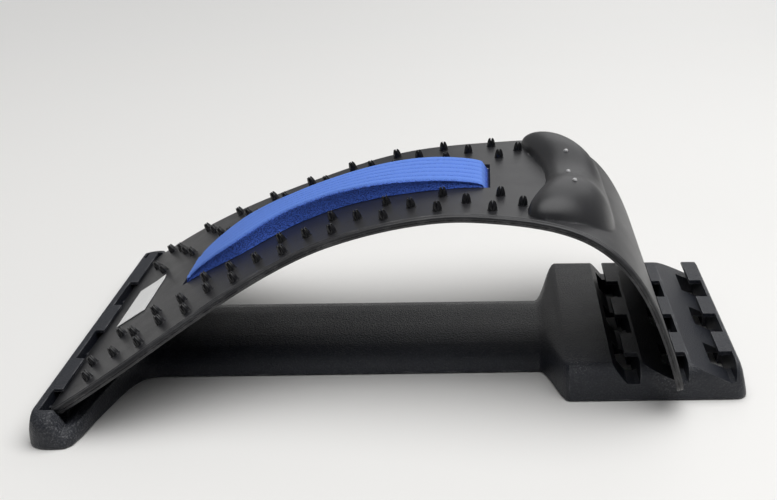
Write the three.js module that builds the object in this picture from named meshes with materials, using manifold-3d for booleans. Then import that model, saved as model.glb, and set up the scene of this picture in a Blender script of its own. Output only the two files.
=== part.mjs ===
// Arched back stretcher: a flexible arched plate with rubber nubs and a foam strip, held in a moulded base.
// Millimetres. X runs along the length from the seat block to the notched block, Y across, Z up from the floor.
// The origin is on the floor, in the middle of the object.
import * as THREE from 'three';
import { mergeVertices } from 'three/addons/utils/BufferGeometryUtils.js';
import Module from 'manifold-3d';

const wasm = await Module();
wasm.setup();

// Shared values
const TURN = Math.PI * 2;
const overrun = 20;
const runningGap = 0.3;
const skinOverlap = 0.2;
const throughCut = 10;

// Base moulding
const baseLength = 386;
const footProud = 0.8;
const wall = 2.8;
const ribWidth = 2.5;
const beamHalf = 45;
const beamHeight = 16.4;
const beamRoundShare = { y: 0.76, z: 0.92 };
const beamCells = 4;
const beamSkirt = 7;

// Seat block, at the low end of the arch
const seatHalf = 127.3;
const seatHeight = 17.4;
const seatDraft = 2.6;
const seatFaceShare = 2;
const seatEndRound = 12;
const seatEdgeRound = 9;
const seatRim = 6.1;
const seatFloor = 6;
const seatFloorRun = 9.4;
const seatSlotEndGap = 1.6;
const seatBackRun = 16.4;
const seatCrest = 9;
const seatTaperRun = 54;
const seatHookReach = 4.9;
const seatHookThick = 1.8;
const seatPitch = 38.4;
const seatPatternShift = -15;
const seatWindow = 8;
const seatSlitLength = 9;
const seatSlitWidth = 1.6;
const seatSlitDepth = 3;

// Notched block, with three troughs for three heights
const headHalf = 82.7;
const headHeight = 21.4;
const headDraft = 5.6;
const headFaceShare = 1.6;
const headEndRound = 7;
const headEdgeRound = 8;
const headFlareRun = 15;
const headPlatform = 24;
const troughs = 3;
const troughPitch = 26.9;
const troughEdge = 1.6;
const troughDepth = 10.9;
const troughCrown = 0.5;
const firstTroughMouth = 15.4;
const firstTroughWallRun = 8;
const hookReach = 7.3;
const caughtHookReach = 5.2;
const caughtRow = 1;
const hookThick = 2.6;
const headPitch = 26.9;
const headPatternShift = -10.6;
const windowReach = 12;
const windowRimStop = 11;

// Rubber feet
const footRadius = 6;
const footThick = 2;
const footInset = 15;

// Arched plate
const plateThick = 2.5;
const flangeDepth = 4.2;
const flangeWidth = 2.4;
const plateSeatHalf = 114.4;
const plateWaistHalf = 70.3;
const plateShoulderHalf = 97.6;
const plateHeadHalf = 101.9;
const plateCorner = 9;
const archApexX = 44;
const archApexZ = 107;
const seatSlope = THREE.MathUtils.degToRad(32.9);
const headSlope = THREE.MathUtils.degToRad(75.8);
const tipBackGap = 2.5;
const tipLift = 7.8;
const tipWallGap = 4.4;
const seatHandle = 109.7;
const seatApexHandle = 76.4;
const headApexHandle = 55.5;
const headHandle = 97.4;
const waistShares = [0.041, 0.4, 0.539, 0.851];

// Neck rest, moulded in the plate
const neckShare = 0.7365;
const neckHalfLength = 16;
const neckSpread = 6.9;
const neckFarReachShare = 1.79;
const neckHalfWidth = 77.3;
const neckSweep = 18.3;
const saddleHeight = 8.9;
const humpHeight = 14.7;
const humpOut = 43;
const neckRoundShare = 0.44;
const neckFadeShare = 1.31;
const neckEndShare = 4.96;
const neckFirstOut = 66;
const neckStationShare = 1.4;
const pimples = 3;
const pimplePitch = 33.6;
const pimpleShift = -9.3;
const pimpleRadius = 1.8;
const pimpleSides = 8;
const pimpleShare = 0.7233;

// Foam strip
const padHalfMiddle = 16.2;
const padHalfWide = 23.6;
const padHalfTip = 17.5;
const padThick = 10.8;
const padTailThick = 2.6;
const padGrooves = 6;
const padGrooveDepth = 0.9;
const padTuck = 0.7;
const slotLength = 7.5;
const slotSideGap = 0.8;
const padTail = 3;
const padSeatShare = 0.1532;
const padHeadShare = 0.6145;
const padRoundShare = 0.65;
const padSeatShares = [0, 0.22];
const padWaistShares = [0.2, 0.42, 0.48, 0.86];
const padRiseShares = [0.03, 0.4];
const padFallShares = [0.02, 0.6];
const padEdgeShares = [0.45, 0.85];

// Rubber nubs
const nubBase = 2.75;
const nubTip = 1.75;
const nubHeight = 5.2;
const nubCrownDepth = 1.6;
const nubCup = 1.8;
const nubPetals = 5;
const nubNeckGap = 5.2;
const buttonRadius = 3.2;
const stemRadius = 1.3;
const stemGap = 0.5;
const stemSides = 6;
const webThick = 1.2;
const webWidth = 6;

// Label, left blank
const labelLength = 20.3;
const labelNubGap = 13.3;
const labelThick = 0.3;
const labelShare = 0.0612;
const labelSideShift = 5.6;

// Colours and finishes
const basePlastic = new THREE.MeshStandardMaterial({ color: 0x17181a, roughness: 0.55, metalness: 0 });
const platePlastic = new THREE.MeshStandardMaterial({ color: 0x35353a, roughness: 0.6, metalness: 0 });
const nubRubber = new THREE.MeshStandardMaterial({ color: 0x0b0b0c, roughness: 0.25, metalness: 0 });
const footRubber = new THREE.MeshStandardMaterial({ color: 0x222222, roughness: 0.9, metalness: 0 });
const blueFoam = new THREE.MeshStandardMaterial({ color: 0x2350b8, roughness: 0.85, metalness: 0 });
const labelPaper = new THREE.MeshStandardMaterial({ color: 0xe8e8e6, roughness: 0.7, metalness: 0 });

// Plain helpers
const blend = (a, b, t) => a + (b - a) * t;
const ease = (t) => THREE.MathUtils.smoothstep(t, 0, 1);
const between = (x, from, to) => THREE.MathUtils.clamp((x - from) / (to - from), 0, 1);
const spread = (from, to, count) => Array.from({ length: count }, (_, i) => blend(from, to, i / (count - 1)));
const roundLoss = (distance, radius) => {
  const left = Math.max(radius - distance, 0);
  return radius - Math.sqrt(radius * radius - left * left);
};

// Signed volume of an indexed closed mesh, to tell which way its faces point
function signedVolume(position, index) {
  const a = new THREE.Vector3();
  const b = new THREE.Vector3();
  const c = new THREE.Vector3();
  let total = 0;
  for (let i = 0; i < index.count; i += 3) {
    a.fromBufferAttribute(position, index.getX(i));
    b.fromBufferAttribute(position, index.getX(i + 1));
    c.fromBufferAttribute(position, index.getX(i + 2));
    total += a.dot(b.cross(c));
  }
  return total;
}

// A closed geometry with shared vertices and outward faces
function closed(geometry) {
  geometry.deleteAttribute('normal');
  geometry.deleteAttribute('uv');
  const merged = mergeVertices(geometry);
  if (signedVolume(merged.attributes.position, merged.index) < 0) {
    merged.setIndex(Array.from(merged.index.array).reverse());
  }
  return merged;
}

// Geometry to solid and back
function solid(geometry) {
  const mesh = closed(geometry);
  return new wasm.Manifold(new wasm.Mesh({
    numProp: 3,
    vertProperties: new Float32Array(mesh.attributes.position.array),
    triVerts: new Uint32Array(mesh.index.array),
  }));
}

function geometryOf(body) {
  const mesh = body.getMesh();
  const geometry = new THREE.BufferGeometry();
  geometry.setAttribute('position', new THREE.BufferAttribute(new Float32Array(mesh.vertProperties), 3));
  geometry.setIndex(new THREE.BufferAttribute(new Uint32Array(mesh.triVerts), 1));
  return geometry;
}

// A box by its corners
function block(x0, x1, y0, y1, z0, z1) {
  const box = new THREE.BoxGeometry(x1 - x0, y1 - y0, z1 - z0);
  box.translate((x0 + x1) / 2, (y0 + y1) / 2, (z0 + z1) / 2);
  return solid(box);
}

// An outline in X and Z, carried across Y
function acrossBody(outline, y0, y1) {
  const shape = new THREE.Shape(outline.map(([x, z]) => new THREE.Vector2(x, z)));
  const body = new THREE.ExtrudeGeometry(shape, { depth: y1 - y0, bevelEnabled: false });
  body.rotateX(Math.PI / 2);
  body.translate(0, y1, 0);
  return solid(body);
}

// Triangles that fill a ring, wound the way the ring runs
function capFaces(ring) {
  const outline = flatRing(ring).map(([x, y]) => new THREE.Vector2(x, y));
  const faces = THREE.ShapeUtils.triangulateShape(outline, []);
  return THREE.ShapeUtils.isClockWise(outline) ? faces.map(([a, b, c]) => [c, b, a]) : faces;
}

// A skin over closed rings of equal point count, filled at both ends
function loft(rings) {
  const count = rings[0].length;
  const points = rings.flat();
  const faces = [];
  for (let i = 0; i + 1 < rings.length; i += 1) {
    for (let j = 0; j < count; j += 1) {
      const next = (j + 1) % count;
      const a = i * count + j;
      const b = i * count + next;
      faces.push(a, b, a + count, b, b + count, a + count);
    }
  }
  const last = (rings.length - 1) * count;
  capFaces(rings[0]).forEach(([a, b, c]) => faces.push(c, b, a));
  capFaces(rings[rings.length - 1]).forEach(([a, b, c]) => faces.push(last + a, last + b, last + c));
  const geometry = new THREE.BufferGeometry();
  geometry.setAttribute('position', new THREE.Float32BufferAttribute(points.flatMap((p) => p.toArray()), 3));
  geometry.setIndex(faces);
  return geometry;
}

// A ring seen along its own normal, as Y against the distance up the ring's plane
function flatRing(ring) {
  const origin = ring[0];
  const up = new THREE.Vector3();
  ring.forEach((p) => {
    const away = new THREE.Vector3(p.x - origin.x, 0, p.z - origin.z);
    if (away.length() > up.length()) up.copy(away);
  });
  up.normalize();
  return ring.map((p) => [p.y, (p.x - origin.x) * up.x + (p.z - origin.z) * up.z]);
}

// Places along the base
const seatOuter = -baseLength / 2;
const headOuter = baseLength / 2;
const seatWall = seatOuter + seatRim;
const seatTaperEnd = seatOuter + seatTaperRun;
const lastWall = headOuter - headDraft - troughEdge;
const wallAt = (row) => lastWall - (troughs - 1 - row) * troughPitch;
const platformEnd = wallAt(0) - firstTroughMouth;
const platformStart = platformEnd - headPlatform;
const flareStart = platformStart - headFlareRun;
const valley = headHeight - troughDepth;

// Plan of the base: its half width at each place along the length
const seatTaperShares = [[0, 1], [0.13, 0.99], [0.21, 0.94], [0.26, 0.85], [0.3, 0.72], [0.4, 0.47],
  [0.52, 0.21], [0.66, 0.06], [0.84, 0.01], [1, 0]];
const seatTaper = new THREE.SplineCurve(seatTaperShares.map(([x, y]) => new THREE.Vector2(x, y)));

function seatTaperShare(share) {
  const point = new THREE.Vector2();
  let low = 0;
  let high = 1;
  while (high - low > Number.EPSILON * overrun) {
    const middle = (low + high) / 2;
    seatTaper.getPoint(middle, point);
    if (point.x < share) low = middle;
    else high = middle;
  }
  return point.y;
}

function baseHalfAt(x) {
  if (x < seatTaperEnd) {
    const straight = seatOuter + seatBackRun;
    const half = blend(beamHalf, seatHalf, seatTaperShare(between(x, straight, seatTaperEnd)));
    return half - roundLoss(x - seatOuter, seatEndRound);
  }
  if (x < platformStart) return blend(beamHalf, headHalf, ease(between(x, flareStart, platformStart)));
  return headHalf - roundLoss(headOuter - x, headEndRound);
}

// Height of the base's middle line at each place along the length
function baseHeightAt(x) {
  const hookEnd = seatWall + seatHookReach + wall;
  const crestStart = seatOuter + seatBackRun + wall;
  if (x < seatOuter + seatDraft) {
    const down = 1 - between(x, seatOuter, seatOuter + seatDraft);
    return blend(seatHeight, footProud + wall, Math.pow(down, seatFaceShare));
  }
  if (x < hookEnd) return seatHeight;
  if (x < crestStart) return blend(seatHeight, seatCrest, ease(between(x, hookEnd, crestStart)));
  if (x < seatTaperEnd) return blend(seatCrest, beamHeight, ease(between(x, crestStart, seatTaperEnd)));
  if (x < platformStart) return blend(beamHeight, headHeight, ease(between(x, flareStart, platformStart)));
  if (x < headOuter - headDraft) return headHeight;
  const down = between(x, headOuter - headDraft, headOuter);
  return blend(headHeight, footProud + wall, Math.pow(down, headFaceShare));
}

// Rounding of the base's long edges: full and soft on the beam, tight on the blocks
function edgeRoundAt(x) {
  const toSeat = 1 - ease(between(x, seatOuter + seatBackRun, seatTaperEnd));
  const toHead = ease(between(x, flareStart, platformStart));
  const soft = { y: beamHalf * beamRoundShare.y, z: beamHeight * beamRoundShare.z };
  const tight = toSeat > 0 ? seatEdgeRound : headEdgeRound;
  const mix = Math.max(toSeat, toHead);
  return { y: blend(soft.y, tight, mix), z: blend(soft.z, tight, mix) };
}

const edgeSteps = 6;

function baseRing(x) {
  const half = baseHalfAt(x);
  const top = baseHeightAt(x);
  const round = edgeRoundAt(x);
  const roundZ = Math.min(round.z, top - footProud - skinOverlap);
  const ring = [new THREE.Vector3(x, -half, footProud)];
  spread(0, Math.PI / 2, edgeSteps).forEach((angle) => {
    ring.push(new THREE.Vector3(
      x, -half + round.y * (1 - Math.cos(angle)), top - roundZ * (1 - Math.sin(angle))));
  });
  const mirrored = ring.map((p) => new THREE.Vector3(p.x, -p.y, p.z)).reverse();
  return [...ring, ...mirrored];
}

// Stations along the base, close together where it changes fast
function baseStations() {
  const seatFlat = seatOuter + seatBackRun;
  const seatStations = [0, 0.2, 0.55, 1].map((share) => seatOuter + seatDraft * share);
  const rimStations = spread(seatOuter + seatDraft * 2, seatFlat, 5);
  const taperStations = spread(seatFlat, seatTaperEnd, 16).slice(1);
  const beamStations = [blend(seatTaperEnd, flareStart, 0.5)];
  const flareStations = spread(flareStart, platformStart, 9);
  const headStations = [platformEnd, headOuter - headEndRound - wall];
  const faceStations = [1, 0.75, 0.5, 0.25, 0.08, 0].map((share) => headOuter - headDraft * share);
  return [...seatStations, ...rimStations, ...taperStations, ...beamStations, ...flareStations,
    ...headStations, ...faceStations];
}

// The pattern of hooks and gaps: a hook first from the back, then a gap, and so on to the front
function bandsAcross(pitch, shift, half) {
  const lines = [2, 1, 0, -1, -2].map((step) => step * pitch + shift);
  return {
    hooks: [[lines[0], half], [lines[2], lines[1]], [lines[4], lines[3]]],
    gaps: [[lines[1], lines[0]], [lines[3], lines[2]], [-half, lines[4]]],
  };
}

const seatBands = bandsAcross(seatPitch, seatPatternShift, seatHalf);
const headBands = bandsAcross(headPitch, headPatternShift, headHalf);

// Seat slot: a floor behind the rim that climbs to the crest, closed just past the plate's corners
function cutSeatSlot(body) {
  const outline = [
    [seatWall, seatFloor],
    [seatWall + seatFloorRun, seatFloor],
    [seatWall + seatBackRun, seatCrest + wall / 2],
    [seatWall + seatBackRun, seatHeight + overrun],
    [seatWall, seatHeight + overrun],
  ];
  const reach = plateSeatHalf + seatSlotEndGap;
  return body.subtract(acrossBody(outline, -reach, reach));
}

// Troughs: a gentle floor falling away from each ridge to a steep outer wall
function troughOutline(row) {
  const x = wallAt(row);
  const mouth = row === 0 ? platformEnd : wallAt(row - 1) + troughEdge;
  const firstFoot = [mouth + firstTroughWallRun, valley + troughCrown];
  const floorStart = row === 0 ? firstFoot : [mouth, headHeight - troughCrown];
  return [
    [mouth, headHeight + overrun],
    [mouth, headHeight - troughCrown],
    floorStart,
    [x - wall, valley],
    [x - skinOverlap, valley + troughCrown],
    [x, valley + wall],
    [x, headHeight + overrun],
  ].filter((p, i, all) => i === 0 || p[0] !== all[i - 1][0] || p[1] !== all[i - 1][1]);
}

function cutTroughs(body) {
  let cut = body;
  for (let row = 0; row < troughs; row += 1) {
    cut = cut.subtract(acrossBody(troughOutline(row), -headHalf - overrun, headHalf + overrun));
  }
  return cut;
}

// Windows through the floors under the hooks
function cutWindows(body) {
  let cut = body;
  for (let row = 0; row < troughs; row += 1) {
    headBands.hooks.forEach(([y0, y1]) => {
      const back = Math.min(y1, headHalf - windowRimStop);
      const x = wallAt(row);
      cut = cut.subtract(block(x - windowReach, x, y0, back, -overrun, headHeight + overrun));
    });
  }
  seatBands.hooks.forEach(([y0, y1]) => {
    const back = Math.min(y1, seatHalf - seatEndRound - seatEdgeRound);
    cut = cut.subtract(block(seatWall, seatWall + seatWindow, y0, back, -overrun, seatHeight + overrun));
  });
  return cut;
}

// Hollows under the base, with ribs left between them
function cutUnderside(body) {
  let cut = body;
  const carve = (x0, x1, half, top) => {
    cut = cut.subtract(block(x0, x1, -half, half, -overrun, top));
  };
  const headEnd = headHalf - footInset - footRadius - wall;
  carve(platformStart, platformEnd, headEnd, headHeight - wall - troughCrown);
  for (let row = 0; row < troughs; row += 1) {
    carve(wallAt(row) - windowReach - wall, wallAt(row) - ribWidth, headEnd, valley - wall);
  }
  const seatEnd = seatHalf - footInset - footRadius - wall;
  carve(seatWall + ribWidth, seatOuter + seatBackRun, seatEnd, seatFloor - wall);
  const beamStart = seatTaperEnd + wall;
  const cell = (flareStart - wall - beamStart) / beamCells;
  for (let i = 0; i < beamCells; i += 1) {
    const x = beamStart + i * cell;
    carve(x, x + cell - ribWidth, beamHalf - beamSkirt, beamHeight / 2);
    carve(x, x + cell - ribWidth, beamHalf / 2, beamHeight - wall);
  }
  return cut;
}

// Hooks over the slot and the troughs, cut to the block's own rounded ends
function addHooks(body, envelope) {
  let joined = body;
  const add = (x, reach, thick, top, [y0, y1]) => {
    const outline = [
      [x - reach, top - thick],
      [x + troughEdge / 2, top - thick],
      [x + troughEdge / 2, top],
      [x - reach, top],
    ];
    joined = joined.add(acrossBody(outline, y0, y1).intersect(envelope));
  };
  for (let row = 0; row < troughs; row += 1) {
    const reach = row === caughtRow ? caughtHookReach : hookReach;
    headBands.hooks.forEach((band) => add(wallAt(row), reach, hookThick, headHeight, band));
  }
  seatBands.hooks.forEach(([y0, y1]) => {
    const under = seatHeight - seatHookThick;
    const hook = block(seatWall - wall, seatWall + seatHookReach, y0, y1, under, seatHeight);
    joined = joined.add(hook.intersect(envelope));
  });
  return joined;
}

// Cradle ribs that carry the plate's end in the slot
function addRibs(body) {
  let joined = body;
  const ribTop = plateTipUnder().z - runningGap;
  const reach = plateSeatHalf - plateCorner - flangeWidth - ribWidth;
  [...seatBands.hooks, ...seatBands.gaps].forEach(([y0, y1]) => {
    const y = THREE.MathUtils.clamp(blend(y0, y1, 0.5), -reach, reach);
    joined = joined.add(block(
      seatWall - wall, seatWall + seatFloorRun, y - ribWidth / 2, y + ribWidth / 2, footProud, ribTop));
  });
  return joined;
}

// Small slit in the rim's far end
function cutSlit(body) {
  const y = seatHalf - seatEndRound - seatSlitLength;
  const x = seatWall - seatRim / 4;
  const half = seatSlitWidth / 2;
  return body.subtract(block(
    x - half, x + half, y, y + seatSlitLength, seatHeight - seatSlitDepth, seatHeight + overrun));
}

// Where the four feet sit
function footPlaces() {
  const seatX = seatOuter + seatBackRun - footRadius / 2;
  const headX = blend(wallAt(1), wallAt(2), 0.4);
  return [
    ['seat_front', seatX, -seatHalf + footInset + footRadius],
    ['seat_back', seatX, seatHalf - footInset - footRadius],
    ['head_front', headX, -headHalf + footInset],
    ['head_back', headX, headHalf - footInset],
  ];
}

function disc(radius, z0, z1) {
  const body = new THREE.CylinderGeometry(radius, radius, z1 - z0, 20);
  body.rotateX(Math.PI / 2);
  body.translate(0, 0, (z0 + z1) / 2);
  return body;
}

function cutFootRecesses(body) {
  let cut = body;
  footPlaces().forEach(([, x, y]) => {
    const recess = disc(footRadius + runningGap, -overrun, footThick + runningGap);
    recess.translate(x, y, 0);
    cut = cut.subtract(solid(recess));
  });
  return cut;
}

function baseBody() {
  const envelope = solid(loft(baseStations().map(baseRing)));
  let body = cutSeatSlot(envelope);
  body = cutTroughs(body);
  body = cutUnderside(body);
  body = cutWindows(body);
  body = addHooks(body, envelope);
  body = addRibs(body);
  body = cutFootRecesses(body);
  return cutSlit(body);
}

// Middle line of the plate's top face, from the seat to the notched block, as two curves that meet at the apex
function seatTip() {
  return new THREE.Vector2(seatWall + tipBackGap, seatFloor + tipLift);
}

function headTip() {
  const floorEnd = wallAt(caughtRow) - wall;
  const x = wallAt(caughtRow) - tipWallGap;
  const run = floorEnd - (wallAt(caughtRow - 1) + troughEdge);
  const inner = x - plateThick * Math.sin(headSlope);
  const fall = (floorEnd - inner) / run;
  const floor = blend(valley, headHeight - troughCrown, fall);
  return new THREE.Vector2(x, floor + runningGap + plateThick * Math.cos(headSlope));
}

function plateTipUnder() {
  const tip = seatTip();
  return { x: tip.x + plateThick * Math.sin(seatSlope), z: tip.y - plateThick * Math.cos(seatSlope) };
}

function archCurve() {
  const apex = new THREE.Vector2(archApexX, archApexZ);
  const start = seatTip();
  const end = headTip();
  const line = new THREE.CurvePath();
  line.add(new THREE.CubicBezierCurve(
    start,
    new THREE.Vector2(start.x + seatHandle * Math.cos(seatSlope), start.y + seatHandle * Math.sin(seatSlope)),
    new THREE.Vector2(apex.x - seatApexHandle, apex.y),
    apex));
  line.add(new THREE.CubicBezierCurve(
    apex,
    new THREE.Vector2(apex.x + headApexHandle, apex.y),
    new THREE.Vector2(end.x - headHandle * Math.cos(headSlope), end.y + headHandle * Math.sin(headSlope)),
    end));
  return line;
}

const arch = archCurve();
const archLength = arch.getLength();

// A point at a share of the arch's length, a place across it and a height above the top face
function onArch(share, y, lift) {
  const point = arch.getPointAt(THREE.MathUtils.clamp(share, 0, 1));
  const along = arch.getTangentAt(THREE.MathUtils.clamp(share, 0, 1));
  return new THREE.Vector3(point.x - along.y * lift, y, point.y + along.x * lift);
}

// Half width of the plate, with a waist and round corners
function plateHalfAt(share) {
  const [seatEnd, waistStart, waistEnd, shoulder] = waistShares;
  let half = plateSeatHalf;
  if (share > seatEnd) half = blend(plateSeatHalf, plateWaistHalf, ease(between(share, seatEnd, waistStart)));
  if (share > waistEnd) half = blend(plateWaistHalf, plateShoulderHalf, ease(between(share, waistEnd, shoulder)));
  if (share > shoulder) half = blend(plateShoulderHalf, plateHeadHalf, ease(between(share, shoulder, 1)));
  const fromEnd = Math.min(share, 1 - share) * archLength;
  return half - roundLoss(fromEnd, plateCorner);
}

// Neck rest: a crescent that swells to a hump on each side of a low saddle, as a height over the plate
function neckSpan(y) {
  const out = Math.max(1 - Math.pow(Math.abs(y) / neckHalfWidth, neckEndShare), 0);
  const bow = Math.pow(y / neckHalfWidth, 2);
  const centre = neckShare * archLength - neckSweep * bow;
  return { out, centre, half: (neckHalfLength + neckSpread * bow) * Math.sqrt(out) };
}

function neckHeight(share, y) {
  const { out, centre, half } = neckSpan(y);
  if (out === 0) return 0;
  const from = share * archLength - centre;
  const along = from / (from > 0 ? half * neckFarReachShare : half);
  const ridge = blend(saddleHeight, humpHeight, ease(Math.abs(y) / humpOut)) * Math.sqrt(out);
  return ridge * Math.pow(Math.max(1 - along * along, 0), from > 0 ? neckFadeShare : neckRoundShare);
}

// One section of the plate: top face, flange, under face, flange
const neckReachShares = [0.24, 0.4, 0.55, 0.7, 0.83, 0.92, 1];

function acrossPlate(half, edge) {
  const reach = Math.min(neckHalfWidth, half - flangeWidth - runningGap);
  const side = [...neckReachShares.map((share) => share * reach), edge];
  return [...side.map((y) => -y).reverse(), 0, ...side];
}

function plateRing(share) {
  const half = plateHalfAt(share);
  const top = acrossPlate(half, half).map((y) => onArch(share, y, neckHeight(share, y)));
  const under = acrossPlate(half, half - flangeWidth).reverse().map(
    (y) => onArch(share, y, neckHeight(share, y) - plateThick));
  return [
    ...top,
    onArch(share, half, -flangeDepth),
    onArch(share, half - flangeWidth, -flangeDepth),
    ...under,
    onArch(share, flangeWidth - half, -flangeDepth),
    onArch(share, -half, -flangeDepth),
  ];
}

const firstStationShare = 0.05;
const lastStationLead = 13;

function plateStations() {
  const neckStart = neckFootAt(neckFirstOut);
  const neckEnd = neckShare + neckHalfLength * neckFarReachShare / archLength;
  const cornerShare = plateCorner / archLength;
  const endShares = [0, 0.12, 0.4, 1];
  return [
    ...endShares.map((share) => share * cornerShare),
    ...spread(firstStationShare, neckStart - lastStationLead / archLength, 14),
    ...spread(0, 1, 17).map((t) => blend(neckStart, neckEnd, Math.pow(t, neckStationShare))),
    ...spread(blend(neckEnd, 1, 1 / 5), 1 - cornerShare * 2, 4),
    ...endShares.map((share) => 1 - share * cornerShare).reverse(),
  ];
}

// Where the neck rest starts at a place across, as a share of the arch
function neckFootAt(y) {
  const { centre, half } = neckSpan(y);
  return (centre - half) / archLength;
}

// Places of the nubs on one side, as rows that follow the plate's edge
const lastNub = neckFootAt(humpOut) - (nubBase + nubNeckGap) / archLength;
const rowShares = {
  outer: { start: 0.1315, end: 0.621, count: 8, across: [0.845, 0.845] },
  middle: { start: 0.0835, end: lastNub, count: 9, across: [0.72, 0.685] },
  inner: { start: 0.1033, end: 0.6323, count: 8, across: [0.58, 0.5] },
};
const rowBowShare = 0.04;
const firstNubShares = [0.0535, 0.845];
const looseNubShares = [[0.0412, 0.636], [0.0706, 0.434], [0.1274, 0.436], [0.2048, 0.4]];

function rowPlace(row, index) {
  const step = index / (row.count - 1);
  const share = blend(row.start, row.end, step - rowBowShare * step * (1 - step));
  const across = blend(row.across[0], row.across[1], Math.min(index / 3, 1));
  return { share, y: plateHalfAt(share) * across };
}

function nubPlaces() {
  const pairs = [];
  const loose = ([share, across]) => ({ share, y: plateHalfAt(share) * across });
  const singles = [loose(firstNubShares)];
  for (let i = 0; i < rowShares.inner.count; i += 1) {
    pairs.push([rowPlace(rowShares.inner, i), rowPlace(rowShares.outer, i)]);
  }
  for (let i = 0; i < rowShares.middle.count; i += 1) singles.push(rowPlace(rowShares.middle, i));
  looseNubShares.forEach((place) => singles.push(loose(place)));
  return { pairs, singles };
}

// Turn and move a geometry to its place on the plate
function toPlate(geometry, share, y, lift) {
  const along = arch.getTangentAt(share);
  const place = onArch(share, y, lift);
  geometry.rotateY(-Math.atan2(along.y, along.x));
  geometry.translate(place.x, place.y, place.z);
  return geometry;
}

function holeAt({ share, y }, radius) {
  const hole = new THREE.CylinderGeometry(radius, radius, throughCut, stemSides);
  hole.rotateX(Math.PI / 2);
  return solid(toPlate(hole, share, y, neckHeight(share, y)));
}

function slotAt(share, half) {
  const slot = new THREE.BoxGeometry(slotLength, half * 2, throughCut);
  return solid(toPlate(slot, share, 0, 0));
}

// A small round pimple moulded on the neck rest
function pimpleAt(y) {
  const pimple = new THREE.SphereGeometry(pimpleRadius, pimpleSides, pimpleSides / 2);
  return solid(toPlate(pimple, pimpleShare, y, neckHeight(pimpleShare, y)));
}

const mirror = (place) => ({ share: place.share, y: -place.y });

function plateBody() {
  let body = solid(loft(plateStations().map(plateRing)));
  const { pairs, singles } = nubPlaces();
  [...pairs.flat(), ...singles].forEach((place) => {
    body = body.subtract(holeAt(place, stemRadius + stemGap));
    body = body.subtract(holeAt(mirror(place), stemRadius + stemGap));
  });
  for (let i = 0; i < pimples; i += 1) {
    body = body.add(pimpleAt(pimpleShift + (i - (pimples - 1) / 2) * pimplePitch));
  }
  body = body.subtract(slotAt(padSeatShare, padHalfTip + slotSideGap));
  return body.subtract(slotAt(padHeadShare, padHalfWide + slotSideGap));
}

// A nub: a crown of petals on the plate, a stem through it and a button under it
function nubShape() {
  const under = -plateThick - runningGap;
  const profile = [
    [0, under - webThick],
    [buttonRadius, under],
    [stemRadius, under],
    [stemRadius, runningGap],
    [nubBase, runningGap],
    [nubTip, nubHeight],
    [0, nubHeight - nubCup],
  ].map(([x, y]) => new THREE.Vector2(x, y));
  const nub = new THREE.LatheGeometry(profile, nubPetals * 2);
  nub.rotateX(Math.PI / 2);
  const { position } = nub.attributes;
  const tipRow = profile.length - 2;
  for (let i = tipRow; i < position.count; i += profile.length * 2) {
    const valleyPoint = i + profile.length;
    if (valleyPoint < position.count) position.setZ(valleyPoint, nubHeight - nubCrownDepth);
  }
  return nub;
}

function singleNub(place) {
  return solid(toPlate(nubShape(), place.share, place.y, 0));
}

function pairNub(inner, outer) {
  const share = (inner.share + outer.share) / 2;
  const along = (outer.share - inner.share) * archLength;
  const across = outer.y - inner.y;
  const web = new THREE.BoxGeometry(Math.hypot(along, across), webWidth, webThick);
  web.rotateZ(Math.atan2(across, along));
  toPlate(web, share, (inner.y + outer.y) / 2, -plateThick - runningGap - webThick / 2);
  return singleNub(inner).add(singleNub(outer)).add(solid(web));
}

// Foam strip: wide at both ends, narrow in the middle, grooved along its top, with thin tails through the slots
function padSpan(share) {
  return between(share, padSeatShare, padHeadShare);
}

function padHalfAt(share) {
  const t = padSpan(share);
  const [waistStart, waistFull, waistLeft, wideAgain] = padWaistShares;
  const seatSide = blend(padHalfTip, padHalfWide, ease(between(t, ...padSeatShares)));
  const waist = blend(seatSide, padHalfMiddle, ease(between(t, waistStart, waistFull)));
  return blend(waist, padHalfWide, ease(between(t, waistLeft, wideAgain)));
}

function padThickAt(share) {
  const t = padSpan(share);
  const seatRise = Math.sin(between(t, ...padRiseShares) * Math.PI / 2);
  const headRise = Math.sin(between(1 - t, ...padFallShares) * Math.PI / 2);
  return blend(padTailThick, padThick, Math.pow(seatRise * headRise, padRoundShare));
}

// Height of the strip's under face: it dives through the slot at each end
function padUnderAt(share) {
  const dive = slotLength / archLength;
  const depth = plateThick + runningGap * 2 + padTailThick;
  const fromSeat = between(share, padSeatShare - dive / 2, padSeatShare + dive / 2);
  const fromHead = between(padHeadShare + dive / 2, share, share + dive);
  const out = Math.min(fromSeat, fromHead);
  return blend(-depth, runningGap, out);
}

function padRing(share) {
  const half = padHalfAt(share);
  const under = padUnderAt(share);
  const thick = padThickAt(share);
  const tuck = Math.min(padTuck, thick / 4);
  const groove = Math.min(padGrooveDepth, thick / 4);
  const ring = [
    onArch(share, -half, under),
    onArch(share, -half + tuck, under + thick * padEdgeShares[0]),
    onArch(share, -half, under + thick * padEdgeShares[1]),
  ];
  spread(-1, 1, padGrooves * 2 + 1).forEach((across, i) => {
    const fall = i % 2 === 0 ? groove : 0;
    const side = Math.abs(across) === 1 ? tuck : 0;
    ring.push(onArch(share, across * (half - tuck), under + thick - fall - side));
  });
  ring.push(onArch(share, half, under + thick * padEdgeShares[1]));
  ring.push(onArch(share, half - tuck, under + thick * padEdgeShares[0]));
  ring.push(onArch(share, half, under));
  return ring;
}

function padBody() {
  const dive = slotLength / archLength;
  const tail = padTail / archLength;
  const stations = [
    padSeatShare - dive / 2 - tail,
    ...spread(padSeatShare - dive / 2, padSeatShare + dive / 2, 4),
    ...spread(padSeatShare + dive, padHeadShare - dive, 18),
    ...spread(padHeadShare - dive / 2, padHeadShare + dive / 2, 4),
    padHeadShare + dive / 2 + tail,
  ];
  return solid(loft(stations.map(padRing)));
}

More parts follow.
